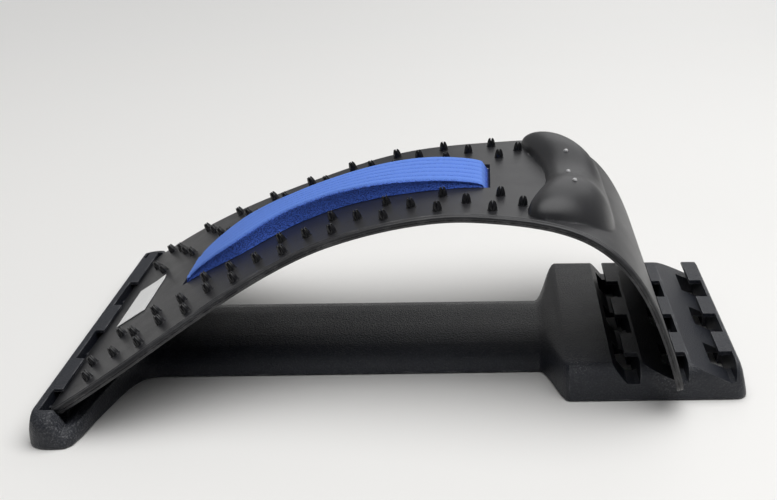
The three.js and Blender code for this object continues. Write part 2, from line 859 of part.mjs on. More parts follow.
// Blank label, curved with the plate
function labelBody() {
  const [share, across] = looseNubShares[1];
  const labelHalf = plateHalfAt(share) * across - nubBase - labelNubGap - labelSideShift;
  const reach = labelLength / archLength / 2;
  const rings = spread(labelShare - reach, labelShare + reach, 5).map((share) => [
    onArch(share, labelSideShift - labelHalf, runningGap),
    onArch(share, labelSideShift - labelHalf, runningGap + labelThick),
    onArch(share, labelSideShift + labelHalf, runningGap + labelThick),
    onArch(share, labelSideShift + labelHalf, runningGap),
  ]);
  return solid(loft(rings));
}

// The assembly
const stretcher = new THREE.Group();
const baseGroup = new THREE.Group();
const archGroup = new THREE.Group();
stretcher.add(baseGroup, archGroup);

function put(group, name, body, material) {
  const mesh = new THREE.Mesh(geometryOf(body), material);
  mesh.name = name;
  group.add(mesh);
}

put(baseGroup, 'base_moulding', baseBody(), basePlastic);
footPlaces().forEach(([name, x, y]) => {
  const foot = disc(footRadius, 0, footThick);
  const mesh = new THREE.Mesh(closed(foot), footRubber);
  mesh.name = `foot_${name}`;
  mesh.position.set(x, y, 0);
  baseGroup.add(mesh);
});

put(archGroup, 'arch_plate', plateBody(), platePlastic);
put(archGroup, 'foam_strip', padBody(), blueFoam);
put(archGroup, 'blank_label', labelBody(), labelPaper);

[['back', (place) => place], ['front', mirror]].forEach(([side, turn]) => {
  const { pairs, singles } = nubPlaces();
  pairs.forEach(([inner, outer], i) => {
    put(archGroup, `nub_pair_${side}_${i + 1}`, pairNub(turn(inner), turn(outer)), nubRubber);
  });
  singles.forEach((place, i) => {
    put(archGroup, `nub_${side}_${i + 1}`, singleNub(turn(place)), nubRubber);
  });
});

export default stretcher;
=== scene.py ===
"""Looks of the arched back stretcher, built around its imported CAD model.

Lengths in this script are millimetres until a mesh is made, and the scene is in metres.
X runs along the length from the seat block to the notched block, Y across, Z up from the floor.
"""
import math

import bmesh
import bpy
import numpy as np
from mathutils import Matrix, Vector


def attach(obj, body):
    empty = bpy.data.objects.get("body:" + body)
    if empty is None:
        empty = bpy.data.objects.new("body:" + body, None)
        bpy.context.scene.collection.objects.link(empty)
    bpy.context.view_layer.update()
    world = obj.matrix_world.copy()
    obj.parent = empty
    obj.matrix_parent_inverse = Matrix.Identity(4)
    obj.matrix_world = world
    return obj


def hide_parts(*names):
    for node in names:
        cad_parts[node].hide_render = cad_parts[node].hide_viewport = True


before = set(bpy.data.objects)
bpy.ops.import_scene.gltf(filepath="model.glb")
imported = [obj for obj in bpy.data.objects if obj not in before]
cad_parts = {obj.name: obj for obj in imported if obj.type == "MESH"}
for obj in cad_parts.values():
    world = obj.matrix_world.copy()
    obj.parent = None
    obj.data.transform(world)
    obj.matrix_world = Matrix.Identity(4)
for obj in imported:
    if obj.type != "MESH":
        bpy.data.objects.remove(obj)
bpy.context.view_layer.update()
MM = 0.001

# ---------------------------------------------------------------- camera
PICTURE_WIDTH = 777
FOCAL_PIXELS = 1226.5
CENTRE_SHIFT_PIXELS = 131.1
CAMERA_PLACE = Vector((48.2, -691.9, 320.1)) * MM
VIEW_LINE = Vector((0.0258, 0.9357, -0.3518)).normalized()
CAMERA_ROLL = math.radians(-0.10)


def make_camera():
    """A camera at the photograph's angle: its axes follow the line of sight, level and then rolled."""
    lens = bpy.data.cameras.new("photo_camera")
    lens.sensor_width = 36
    lens.lens = FOCAL_PIXELS * lens.sensor_width / PICTURE_WIDTH
    lens.shift_x = -CENTRE_SHIFT_PIXELS / PICTURE_WIDTH
    lens.clip_start = 0.01
    lens.clip_end = 50
    right = VIEW_LINE.cross(Vector((0, 0, 1))).normalized()
    up = right.cross(VIEW_LINE)
    rolled_right = math.cos(CAMERA_ROLL) * right + math.sin(CAMERA_ROLL) * up
    rolled_up = -math.sin(CAMERA_ROLL) * right + math.cos(CAMERA_ROLL) * up
    camera = bpy.data.objects.new("photo_camera", lens)
    camera.matrix_world = Matrix.Translation(CAMERA_PLACE) @ Matrix(
        (rolled_right, rolled_up, -VIEW_LINE)).transposed().to_4x4()
    bpy.context.scene.collection.objects.link(camera)
    bpy.context.scene.camera = camera


# ---------------------------------------------------------------- shapes in numbers
def smooth(t):
    """The soft step 3t^2 - 2t^3, held at 0 and 1 outside its range."""
    t = np.clip(t, 0, 1)
    return t * t * (3 - 2 * t)


def softer(t):
    """The softer step 6t^5 - 15t^4 + 10t^3, which also starts and ends without a bend."""
    t = np.clip(t, 0, 1)
    return t * t * t * (t * (6 * t - 15) + 10)


def between(x, start, end):
    """How far x is from start to end, held from 0 to 1."""
    return np.clip((x - start) / (end - start), 0, 1)


def mix(a, b, t):
    """a at t = 0 and b at t = 1."""
    return a + (b - a) * t


def round_loss(distance, radius):
    """How far a rounded corner of this radius has drawn back, at a distance from the end."""
    left = np.maximum(radius - distance, 0)
    return radius - np.sqrt(radius * radius - left * left)


def outward(points, faces):
    """The faces turned, all together, so that they enclose a positive volume."""
    a, b, c, d = (points[faces[:, k]] for k in range(4))
    volume = np.einsum("ij,ij->i", a, np.cross(b, c) + np.cross(c, d)).sum()
    return faces if volume > 0 else faces[:, ::-1]


def compact(points, faces):
    """The same faces with the points that none of them uses left out."""
    used, places = np.unique(faces, return_inverse=True)
    return points[used], places.reshape(faces.shape)


def walled_sheet(outer, inner, kept=None):
    """A sheet with a thickness: two grids of points, closed by walls along every edge of the kept cells."""
    rows, cols = outer.shape[:2]
    kept = np.ones((rows - 1, cols - 1), bool) if kept is None else kept
    index = np.arange(rows * cols).reshape(rows, cols)
    below = rows * cols
    cells = np.stack([index[:-1, :-1], index[:-1, 1:], index[1:, 1:], index[1:, :-1]], -1)[kept]
    framed = np.pad(kept, 1)
    before, after = framed[:-1, 1:-1], framed[1:, 1:-1]
    across = np.stack([index[:, :-1], index[:, 1:]], -1)
    left, right = framed[1:-1, :-1], framed[1:-1, 1:]
    along = np.stack([index[:-1, :], index[1:, :]], -1)
    walls = []
    for edges in (across[after & ~before][:, ::-1], across[before & ~after],
                  along[right & ~left], along[left & ~right][:, ::-1]):
        walls.append(np.concatenate([edges, edges[:, ::-1] + below], 1))
    points = np.concatenate([outer.reshape(-1, 3), inner.reshape(-1, 3)])
    faces = np.concatenate([cells, cells[:, ::-1] + below, *walls])
    return compact(points, outward(points, faces))


def tube(rings):
    """A skin over closed rings, rows by points by 3, with the first and last shrunk to poles or flat ends."""
    rows, count = rings.shape[:2]
    index = np.arange(rows * count).reshape(rows, count)
    around = np.roll(index, -1, 1)
    faces = np.stack([index[:-1], around[:-1], around[1:], index[1:]], -1).reshape(-1, 4)
    points = rings.reshape(-1, 3)
    return points, outward(points, faces)


def piece(name, parts, material, body, slot, *stands_for, sharp=35, attribute=None):
    """One object from one or more closed skins, each a table of points in mm and one of four-sided faces."""
    start = np.cumsum([0] + [len(points) for points, _ in parts])
    points = np.concatenate([points for points, _ in parts]) * MM
    faces = np.concatenate([faces + start[k] for k, (_, faces) in enumerate(parts)])
    mesh = bpy.data.meshes.new(name)
    mesh.vertices.add(len(points))
    mesh.vertices.foreach_set("co", points.astype(np.float32).ravel())
    mesh.loops.add(faces.size)
    mesh.loops.foreach_set("vertex_index", faces.astype(np.int32).ravel())
    mesh.polygons.add(len(faces))
    mesh.polygons.foreach_set("loop_start", np.arange(0, faces.size, 4, dtype=np.int32))
    mesh.update(calc_edges=True)
    if attribute:
        values = mesh.attributes.new(attribute[0], "FLOAT", "POINT")
        values.data.foreach_set("value", attribute[1].astype(np.float32))
    weld = bmesh.new()
    weld.from_mesh(mesh)
    bmesh.ops.remove_doubles(weld, verts=weld.verts, dist=1e-6)
    bmesh.ops.dissolve_degenerate(weld, edges=weld.edges, dist=1e-6)
    weld.to_mesh(mesh)
    weld.free()
    mesh.polygons.foreach_set("use_smooth", np.ones(len(mesh.polygons), bool))
    mesh.set_sharp_from_angle(angle=math.radians(sharp))
    mesh.materials.append(material)
    made = bpy.data.objects.new(name, mesh)
    bpy.context.scene.collection.objects.link(made)
    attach(made, body)
    if stands_for:
        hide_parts(*stands_for)
    return made


# ---------------------------------------------------------------- the arch's middle line
SEAT_TIP = np.array([-184.4, 13.8])
APEX = np.array([44.0, 107.0])
HEAD_TIP = np.array([154.5, 13.2711])
SEAT_SLOPE = math.radians(32.9)
HEAD_SLOPE = math.radians(75.8)
ARCH_SAMPLES = 4001


def cubic(controls, t):
    """A cubic curve: four points weighted by (1-t)^3, 3t(1-t)^2, 3t^2(1-t) and t^3."""
    weights = np.stack([(1 - t) ** 3, 3 * t * (1 - t) ** 2, 3 * t * t * (1 - t), t ** 3], -1)
    return weights @ np.array(controls)


def arch_line():
    """Two cubic curves that meet level at the apex, with the length run at each sample."""
    seat_turn = SEAT_TIP + 109.7 * np.array([math.cos(SEAT_SLOPE), math.sin(SEAT_SLOPE)])
    head_turn = HEAD_TIP + 97.4 * np.array([-math.cos(HEAD_SLOPE), math.sin(HEAD_SLOPE)])
    t = np.linspace(0, 1, ARCH_SAMPLES)
    line = np.concatenate([
        cubic([SEAT_TIP, seat_turn, APEX - [76.4, 0], APEX], t),
        cubic([APEX, APEX + [55.5, 0], head_turn, HEAD_TIP], t)[1:]])
    steps = np.hypot(*np.diff(line, axis=0).T)
    run = np.concatenate([[0], np.cumsum(steps)])
    slope = np.gradient(line, run, axis=0)
    return run, line, slope / np.linalg.norm(slope, axis=1, keepdims=True)


ARCH_RUN, ARCH_POINTS, ARCH_SLOPE = arch_line()
ARCH_LENGTH = ARCH_RUN[-1]


def on_arch(along, across, lift):
    """The point at a distance along the arch and across it, raised square to the plate by lift."""
    along, across, lift = np.broadcast_arrays(np.asarray(along, float), across, lift)
    x, z = (np.interp(along, ARCH_RUN, ARCH_POINTS[:, k]) for k in range(2))
    dx, dz = (np.interp(along, ARCH_RUN, ARCH_SLOPE[:, k]) for k in range(2))
    beyond = along - np.clip(along, 0, ARCH_LENGTH)
    return np.stack([x + beyond * dx - dz * lift, across, z + beyond * dz + dx * lift], -1)


# ---------------------------------------------------------------- plate
PLATE_THICK = 2.5
PLATE_CORNER = 9
SEAT_HALF, WAIST_HALF, SHOULDER_HALF, HEAD_HALF = 114.4, 70.3, 97.6, 101.9
# where the plate narrows to the waist and widens again, as shares of the way along
WAIST_FROM, WAIST_TO, SHOULDER_FROM, SHOULDER_TO = 0.041, 0.4, 0.539, 0.851

# the neck rest: a crescent bowed toward the seat at its sides, low in the middle and humped on each side
NECK_WIDTH = 77.3
NECK_MIDDLE = 0.7365
NECK_BOW = 18.3
NECK_HALF_LENGTH, NECK_SPREAD = 16, 6.9
NECK_SIDE_POWER = 4.96
NECK_FAR_REACH = 1.79
NECK_NEAR_POWER, NECK_FAR_POWER = 0.44, 1.31
SADDLE_HEIGHT, HUMP_HEIGHT, HUMP_OUT = 8.9, 14.7, 46
FOOT_SOFTNESS, SIDE_SOFTNESS = 0.04, 0.03

STUD_ALONG = 0.7233
STUD_ACROSS = (-42.9, -9.3, 24.3)
STUD_RADIUS, STUD_LIFT = 1.2, 0.2

# each slot of the plate: share of the way along, half width, and which way is outward
PAD_SLOTS = ((0.1532, 18.3, -1), (0.6145, 24.4, 1))
SLOT_LENGTH = 7.5
SLOT_SHOWN = 1.7


def plate_half(along):
    """Half width of the plate: soft steps from seat to waist, shoulder and head, with round corners."""
    share = along / ARCH_LENGTH
    half = mix(SEAT_HALF, WAIST_HALF, smooth(between(share, WAIST_FROM, WAIST_TO)))
    half = half + (SHOULDER_HALF - WAIST_HALF) * smooth(between(share, SHOULDER_FROM, SHOULDER_TO))
    half = half + (HEAD_HALF - SHOULDER_HALF) * smooth(between(share, SHOULDER_TO, 1))
    return half - round_loss(np.minimum(along, ARCH_LENGTH - along), PLATE_CORNER)


def neck_line(across):
    """The crescent's middle line and half length at a place across, and the share of its height there."""
    bow = (across / NECK_WIDTH) ** 2
    out = np.maximum(1 - np.abs(across / NECK_WIDTH) ** NECK_SIDE_POWER, 0)
    half = (NECK_HALF_LENGTH + NECK_SPREAD * bow) * np.sqrt(np.maximum(out, 1e-9))
    return NECK_MIDDLE * ARCH_LENGTH - NECK_BOW * bow, half, out


def neck_height(along, across):
    """The crescent's height: ridge (1 - u^2)^p, steep before its middle line and long after it."""
    middle, half, out = neck_line(across)
    after = along > middle
    reach = np.where(after, NECK_FAR_REACH * half, half)
    left = np.maximum(1 - ((along - middle) / reach) ** 2, 0)
    left = (1 + FOOT_SOFTNESS) * left * left / (left + FOOT_SOFTNESS)
    ridge = mix(SADDLE_HEIGHT, HUMP_HEIGHT, softer(np.abs(across) / HUMP_OUT))
    ridge = ridge * np.sqrt(out * out / (out + SIDE_SOFTNESS))
    return ridge * left ** np.where(after, NECK_FAR_POWER, NECK_NEAR_POWER)


# the rim's outline beside the top face, as (distance out from the edge, height)
RIM_OUTSIDE = np.array([
    (-3.2, 0), (-2.8, -0.28), (-1.35, -0.3), (-0.75, -0.45), (-0.28, -0.8), (-0.05, -1.3), (0, -1.9),
    (0, -2.1), (-0.45, -2.3), (-0.45, -2.6), (0, -2.8), (0, -3.6), (-0.2, -4.0), (-0.6, -4.2)])
RIM_INSIDE = np.array([
    (-4.4, -2.5), (-3.8, -2.5), (-3.2, -2.55), (-2.8, -2.7), (-2.55, -2.95), (-2.45, -3.2), (-2.4, -3.5),
    (-2.4, -3.55), (-2.4, -3.6), (-2.4, -3.65), (-2.4, -3.7), (-2.35, -3.9), (-2.15, -4.1), (-1.8, -4.2)])


def slot_ends(share, outward_sign):
    """Where a slot's opening starts and ends along the plate: it is narrowed at its outward side."""
    return sorted(share * ARCH_LENGTH + outward_sign * reach for reach in (-SLOT_LENGTH / 2, SLOT_SHOWN))


def plate_rows():
    """Distances along the plate for its rows of points: closer at the ends and over the neck rest."""
    slots = [end for share, _, way in PAD_SLOTS for end in slot_ends(share, way)]
    corner = PLATE_CORNER * (1 - np.cos(np.linspace(0, math.pi / 2, 9)))
    neck_from, neck_to, head_corner = 274, 336, 405.4
    return np.unique(np.round(np.concatenate([
        corner, np.linspace(PLATE_CORNER, neck_from, 76), np.linspace(neck_from, neck_to, 100),
        np.linspace(neck_to, head_corner, 24), ARCH_LENGTH - corner, slots]), 4))


def plate_skin():
    """The plate: its top face, rim and under face over a grid of rows along the arch and places across it."""
    rows = plate_rows()[:, None]
    half = plate_half(rows)
    spans = [width / float(plate_half(share * ARCH_LENGTH)) for share, width, _ in PAD_SLOTS]
    side_shares = np.concatenate([np.linspace(0, 0.56, 24), np.linspace(0.57, 0.97, 55), [0.985, 1.0], spans])
    shares = np.unique(np.round(np.concatenate([side_shares, -side_shares]), 5))
    top_y = shares * (half + RIM_OUTSIDE[0, 0])
    under_y = shares * (half + RIM_INSIDE[0, 0])
    lift = neck_height(rows, top_y)
    outer = [on_arch(rows, top_y, lift)]
    inner = [on_arch(rows, under_y, neck_height(rows, under_y) - PLATE_THICK)]
    for side in (-1, 1):
        for profile, walls in ((RIM_OUTSIDE, outer), (RIM_INSIDE, inner)):
            steps = profile[1:] if side > 0 else profile[:0:-1]
            strip = on_arch(rows, side * (half + steps[:, 0]), steps[:, 1])
            walls.insert(len(walls) if side > 0 else 0, strip)
    outer, inner = np.concatenate(outer, 1), np.concatenate(inner, 1)
    kept = np.ones((len(rows) - 1, outer.shape[1] - 1), bool)
    first = len(RIM_OUTSIDE) - 1
    for (share, _, way), span in zip(PAD_SLOTS, spans):
        start, end = slot_ends(share, way)
        middle_row = (rows[:-1, 0] + rows[1:, 0]) / 2
        middle_share = (shares[:-1] + shares[1:]) / 2
        hole = ((middle_row > start) & (middle_row < end))[:, None] & (np.abs(middle_share) < span)
        kept[:, first:first + len(shares) - 1] &= ~hole
    return walled_sheet(outer, inner, kept)


def dome(along, across, radius, base_lift, sides=16, rows=7):
    """A small round stud: a sphere whose middle lies a little above the plate."""
    turn = np.linspace(0, 2 * math.pi, sides, endpoint=False)
    tilt = np.linspace(-math.pi / 2, math.pi / 2, rows)[:, None]
    return tube(on_arch(
        along + radius * np.cos(tilt) * np.cos(turn),
        across + radius * np.cos(tilt) * np.sin(turn),
        base_lift + radius * np.sin(tilt) + 0 * turn))


def studs():
    """Three studs in a row on the saddle of the neck rest."""
    along = STUD_ALONG * ARCH_LENGTH
    return [dome(along, y, STUD_RADIUS, float(neck_height(along, y)) + STUD_LIFT) for y in STUD_ACROSS]


# ---------------------------------------------------------------- foam strip
PAD_START, PAD_END = 0.1532, 0.6145
PAD_THICK = 10.8
PAD_TAIL_THICK = 2.6
PAD_TAIL_RUN = 9
PAD_TAIL_SPREAD = 4
PAD_RIDGES = 6
RIDGE_DEPTH = 1.1
RIDGE_POWER = 0.6
UNDER_GAP = 0.3
TAIL_GAP = 0.1
# how far past the middle of its slot the strip reaches its lowest, as a share of the slot
DIVE_END = 0.12
PAD_TIP_HALF, PAD_WIDE_HALF, PAD_WAIST_HALF = 17.5, 23.6, 16.2
PAD_RISE, PAD_FALL, PAD_ROUND_POWER = (0.03, 0.4), (0.02, 0.6), 0.65
PAD_EDGE = 0.7
# how much darker the foam top is painted in its grooves: painted shade
GROOVE_PAINTED_SHADE = 0.45


def pad_half(share):
    """Half width of the strip: wide near the seat end, narrow in the middle, wide at the other end."""
    t = between(share, PAD_START, PAD_END)
    seat_side = mix(PAD_TIP_HALF, PAD_WIDE_HALF, smooth(between(t, 0, 0.22)))
    waist = mix(seat_side, PAD_WAIST_HALF, smooth(between(t, 0.2, 0.42)))
    return mix(waist, PAD_WIDE_HALF, smooth(between(t, 0.48, 0.86)))


def pad_thick(share):
    """Thickness of the strip: a quarter sine up from each end, multiplied and drawn to a rounder power."""
    t = between(share, PAD_START, PAD_END)
    rise = np.sin(between(t, *PAD_RISE) * math.pi / 2) * np.sin(between(1 - t, *PAD_FALL) * math.pi / 2)
    return mix(PAD_TAIL_THICK, PAD_THICK, rise ** PAD_ROUND_POWER)


def pad_under(share):
    """Height of the under face: it dives through the slot at each end."""
    dive = SLOT_LENGTH / ARCH_LENGTH
    depth = PLATE_THICK + TAIL_GAP + PAD_TAIL_THICK
    from_seat = between(share, PAD_START - dive * DIVE_END, PAD_START + dive / 2)
    from_head = between(share, PAD_END + dive * DIVE_END, PAD_END - dive / 2)
    return mix(-depth, UNDER_GAP, smooth(np.minimum(from_seat, from_head)))


def pad_skin():
    """The strip: one ring a row, with round ridges on top, slightly hollow sides and a flat under face."""
    dive, tail = SLOT_LENGTH / ARCH_LENGTH, PAD_TAIL_RUN / ARCH_LENGTH
    rows = np.concatenate([
        np.linspace(PAD_START - dive / 2 - tail, PAD_START + dive, 30)[:-1],
        np.linspace(PAD_START + dive, PAD_END - 3 * dive, 130)[:-1],
        np.linspace(PAD_END - 3 * dive, PAD_END + dive / 2 + tail, 60)])[:, None]
    beyond = np.maximum(PAD_START - rows, rows - PAD_END) - dive * DIVE_END
    half, thick, under = pad_half(rows), pad_thick(rows), pad_under(rows)
    half = half + PAD_TAIL_SPREAD * smooth(between(beyond, -0.17 * dive, tail / 10))
    across = np.linspace(-1, 1, PAD_RIDGES * 12 + 1)
    ridge = np.abs(np.sin((across + 1) / 2 * math.pi * PAD_RIDGES)) ** RIDGE_POWER
    groove = np.minimum(RIDGE_DEPTH, thick / 4) * (1 - ridge)
    edge = np.minimum(PAD_EDGE, thick / 4) * np.abs(across) ** 30
    top = on_arch(rows * ARCH_LENGTH, across * (half - 0.3), under + thick - groove - edge)
    share = np.linspace(0, 1, 9)[1:-1]
    pull = np.minimum(PAD_EDGE, thick / 4) * np.sin(share * math.pi)
    right = on_arch(rows * ARCH_LENGTH, half - pull, under + (thick - PAD_EDGE) * (1 - share))
    left = on_arch(rows * ARCH_LENGTH, pull - half, under + (thick - PAD_EDGE) * share)
    floor = on_arch(rows * ARCH_LENGTH, np.linspace(1, -1, 13) * half, under)
    rings = np.concatenate([top, right, floor, left], 1)
    middle = rings.mean(1, keepdims=True)
    rings = np.concatenate([np.broadcast_to(middle[:1], rings[:1].shape), rings,
                            np.broadcast_to(middle[-1:], rings[-1:].shape)])
    # the "skin" value is 1 on the pale top, 0 on the cut sides and -1 on the tails in the slots, which the
    # material paints near black as shade; the top's value drops in the grooves and where the strip dips into
    # a slot, which paints shade there too
    skin = np.zeros(rings.shape[:2])
    # the top's pale colour fades out where the strip dips toward a slot: painted shade
    top_unshaded_share = smooth(between(under + thick, -1.5, 1.2))
    skin[1:-1] = -smooth(between(beyond, -0.2 * dive, 0))
    skin[1:-1, 1:len(across) - 1] += (top_unshaded_share * (1 - GROOVE_PAINTED_SHADE * groove / RIDGE_DEPTH))[:, 1:-1]
    points, faces = tube(rings)
    return points, faces, skin.ravel()


# ---------------------------------------------------------------- rubber nubs
NUB_SIDES = 60
NUB_HEIGHT = 5.2
NUB_BASE = 2.6
NUB_TIP = 1.5
NUB_PETALS = 6
# each row of nubs: first and last place along, how many, first and settled place across, as shares
ROWS = {
    "outer": (0.1315, 0.621, 8, 0.845, 0.845),
    "middle": (0.0835, 0.0, 9, 0.72, 0.685),
    "inner": (0.1033, 0.6323, 8, 0.58, 0.5),
}
ROW_BOW = 0.04
FIRST_NUB = (0.0535, 0.845)
LOOSE = ((0.0412, 0.636), (0.0706, 0.434), (0.1274, 0.436), (0.2048, 0.4))
NUB_NECK_GAP = 7.95
NEIGHBOUR_ACROSS = 43
NOTCH_DEPTH, CUP_DEPTH, SLIT_DEPTH = 2.2, 2.0, 0.6
COLLAR = ((0, -0.3), (2.75, -0.3), (2.95, 0.05), (2.9, 0.25), (2.7, 0.35))
STEM_AND_BUTTON = ((0, 0.1), (1.3, 0.1), (1.3, -2.8), (3.0, -2.8), (3.2, -3.1), (2.2, -3.8), (0, -4.0))


def row_place(row, index):
    """The place of one nub in a row: t - bow t (1 - t) along, and a width that settles in three steps."""
    start, end, count, first, last = ROWS[row]
    if row == "middle":
        middle, half, _ = neck_line(NEIGHBOUR_ACROSS)
        end = (middle - half - NUB_NECK_GAP) / ARCH_LENGTH
    step = index / (count - 1)
    along = mix(start, end, step - ROW_BOW * step * (1 - step)) * ARCH_LENGTH
    return along, float(plate_half(along)) * mix(first, last, min(index / 3, 1))


def nub_places():
    """The pairs and the single nubs of one side, in the order of their nodes."""
    pairs = [(row_place("inner", i), row_place("outer", i)) for i in range(ROWS["inner"][2])]
    loose = [(s * ARCH_LENGTH, float(plate_half(s * ARCH_LENGTH)) * a) for s, a in (FIRST_NUB, *LOOSE)]
    return pairs, [loose[0]] + [row_place("middle", i) for i in range(ROWS["middle"][2])] + loose[1:]


def lathe_on_plate(along, across, radius, height):
    """A closed form of turning: rings of radius and height on the plate's tangent plane at one place."""
    turn = np.linspace(0, 2 * math.pi, NUB_SIDES, endpoint=False)
    centre = on_arch(along, across, 0.0)
    forward = on_arch(along + 0.5, across, 0.0) - on_arch(along - 0.5, across, 0.0)
    forward /= np.linalg.norm(forward)
    up = np.array([-forward[2], 0, forward[0]])
    side = np.array([0, 1, 0])
    flat = np.cos(turn)[..., None] * forward + np.sin(turn)[..., None] * side
    return tube(centre + radius[..., None] * flat + height[..., None] * up)


def nub_skin(along, across):
    """A blunt crown: lobes that lean in over a small cup, narrow slits between them and a thin collar."""
    turn = np.linspace(0, 2 * math.pi, NUB_SIDES, endpoint=False)
    lobe = np.abs(np.cos(turn * NUB_PETALS / 2))
    rim = NUB_HEIGHT - NOTCH_DEPTH * (1 - lobe ** 0.7)
    cup = NUB_HEIGHT - CUP_DEPTH
    rise = np.linspace(0, 1, 10)[:, None]
    foot = COLLAR[-1][1]
    wall_height = foot + (rim - foot) * rise
    lean = NUB_BASE - (NUB_BASE - NUB_TIP) * (wall_height / NUB_HEIGHT) ** 2.2
    wall_radius = lean - SLIT_DEPTH * (1 - lobe ** 0.3) * smooth(wall_height / 2.4)
    lip_radius, lip_height = wall_radius[-1:] - 0.4, rim[None] + 0.12
    inner_rise = np.linspace(0.8, 0, 4)[:, None]
    inner_radius = np.maximum(wall_radius[-1:] - 0.75, 0.3) * (0.5 + 0.5 * inner_rise)
    inner_height = cup + (rim - cup) * inner_rise
    one = np.ones((1, NUB_SIDES))
    collar_radius, collar_height = (np.array(COLLAR)[:, k:k + 1] * one for k in (0, 1))
    radius = np.concatenate([collar_radius, wall_radius, lip_radius, inner_radius, 0 * one])
    height = np.concatenate([collar_height, wall_height, lip_height, inner_height, cup * one])
    return lathe_on_plate(along, across, radius, height)


def nub_under(along, across):
    """The stem through the plate and the button under it."""
    profile = np.array(STEM_AND_BUTTON)
    one = np.ones(NUB_SIDES)
    return lathe_on_plate(along, across, profile[:, :1] * one, profile[:, 1:] * one)


def web_skin(first, second):
    """A flat web under the plate between two buttons, bent with the plate."""
    (a0, y0), (a1, y1) = first, second
    run = np.linspace(0, 1, 9)[:, None]
    along, across = mix(a0, a1, run), mix(y0, y1, run)
    length = math.hypot(a1 - a0, y1 - y0)
    offset = np.array([-3, -2.6, 2.6, 3])
    shift_along, shift_across = -(y1 - y0) / length * offset, (a1 - a0) / length * offset
    low = np.array([-3.8, -4.0, -4.0, -3.8])
    outer = on_arch(along + shift_along, across + shift_across, low)
    inner = on_arch(along + shift_along, across + shift_across, -2.8 + 0 * low)
    return walled_sheet(outer, inner)


def make_nubs(material):
    """Every nub on both sides of the plate, each standing for the CAD node of its name."""
    pairs, singles = nub_places()
    for side, sign in (("back", 1), ("front", -1)):
        for i, pair in enumerate(pairs):
            places = [(along, sign * across) for along, across in pair]
            skins = [make(*place) for place in places for make in (nub_skin, nub_under)]
            name = f"nub_pair_{side}_{i + 1}"
            piece(f"{name}_rubber", [*skins, web_skin(*places)],
                  material, "arch", "nub_rubber", name, sharp=40)
        for i, (along, across) in enumerate(singles):
            name = f"nub_{side}_{i + 1}"
            place = (along, sign * across)
            piece(f"{name}_rubber", [nub_skin(*place), nub_under(*place)],
                  material, "arch", "nub_rubber", name, sharp=40)


# ---------------------------------------------------------------- label
LABEL_LENGTH = 20.3
LABEL_ALONG = 0.0612
LABEL_SIDE_SHIFT = 5.6
LABEL_NUB_GAP = 21.65
LABEL_TOP, LABEL_UNDER, LABEL_CURL = 0.6, 0.3, 0.5


def label_skin():
    """A slip of blank paper that follows the plate, with one corner lifting a little."""
    nub_share, nub_across = LOOSE[1]
    half = float(plate_half(nub_share * ARCH_LENGTH)) * nub_across - LABEL_NUB_GAP
    along = np.linspace(-LABEL_LENGTH / 2, LABEL_LENGTH / 2, 21)[:, None] + LABEL_ALONG * ARCH_LENGTH
    across = np.linspace(-half, half, 41) + LABEL_SIDE_SHIFT
    curl = LABEL_CURL * smooth((across - 27) / 7) * smooth((along - 27) / 8)
    top = on_arch(along, across, LABEL_TOP + curl)
    under = on_arch(along, across, LABEL_UNDER + curl)
    return walled_sheet(top, under)


# ---------------------------------------------------------------- node helpers
def add(tree, kind, inputs=None, **settings):
    """A shader node with its settings and inputs, where an input is a value or another node's output."""
    made = tree.nodes.new(kind)
    for key, value in settings.items():
        setattr(made, key, value)
    for key, value in (inputs or {}).items():
        if isinstance(value, bpy.types.NodeSocket):
            tree.links.new(value, made.inputs[key])
        else:
            made.inputs[key].default_value = value
    return made


def group(name, inputs, outputs):
    """An empty node group with named sockets: inputs as name, type and value; outputs as name and type."""
    tree = bpy.data.node_groups.new(name, "ShaderNodeTree")
    for label, kind, value in inputs:
        socket = tree.interface.new_socket(label, in_out="INPUT", socket_type=kind)
        socket.default_value = value
    for label, kind in outputs:
        tree.interface.new_socket(label, in_out="OUTPUT", socket_type=kind)
    return tree, tree.nodes.new("NodeGroupInput"), tree.nodes.new("NodeGroupOutput")


def math_node(tree, operation, a, b=0.0, c=0.0, clamp=False):
    """One sum on one to three values."""
    return add(tree, "ShaderNodeMath", {0: a, 1: b, 2: c}, operation=operation, use_clamp=clamp).outputs[0]


def grain_group():
    """Moulded grain: pebbles from a fine noise, with a slow mottle over them."""
    tree, start, end = group("moulded_grain", [
        ("Fineness", "NodeSocketFloat", 1400.0), ("Slow Fineness", "NodeSocketFloat", 60.0)],
        [("Height", "NodeSocketFloat"), ("Mottle", "NodeSocketFloat")])
    place = tree.nodes.new("ShaderNodeTexCoord").outputs["Object"]
    pebble = add(tree, "ShaderNodeTexNoise", {
        "Vector": place, "Scale": start.outputs["Fineness"], "Detail": 3.0, "Roughness": 0.6})
    slow = add(tree, "ShaderNodeTexNoise", {
        "Vector": place, "Scale": start.outputs["Slow Fineness"], "Detail": 4.0, "Roughness": 0.55})
    tree.links.new(pebble.outputs["Fac"], end.inputs["Height"])
    tree.links.new(slow.outputs["Fac"], end.inputs["Mottle"])
    return tree


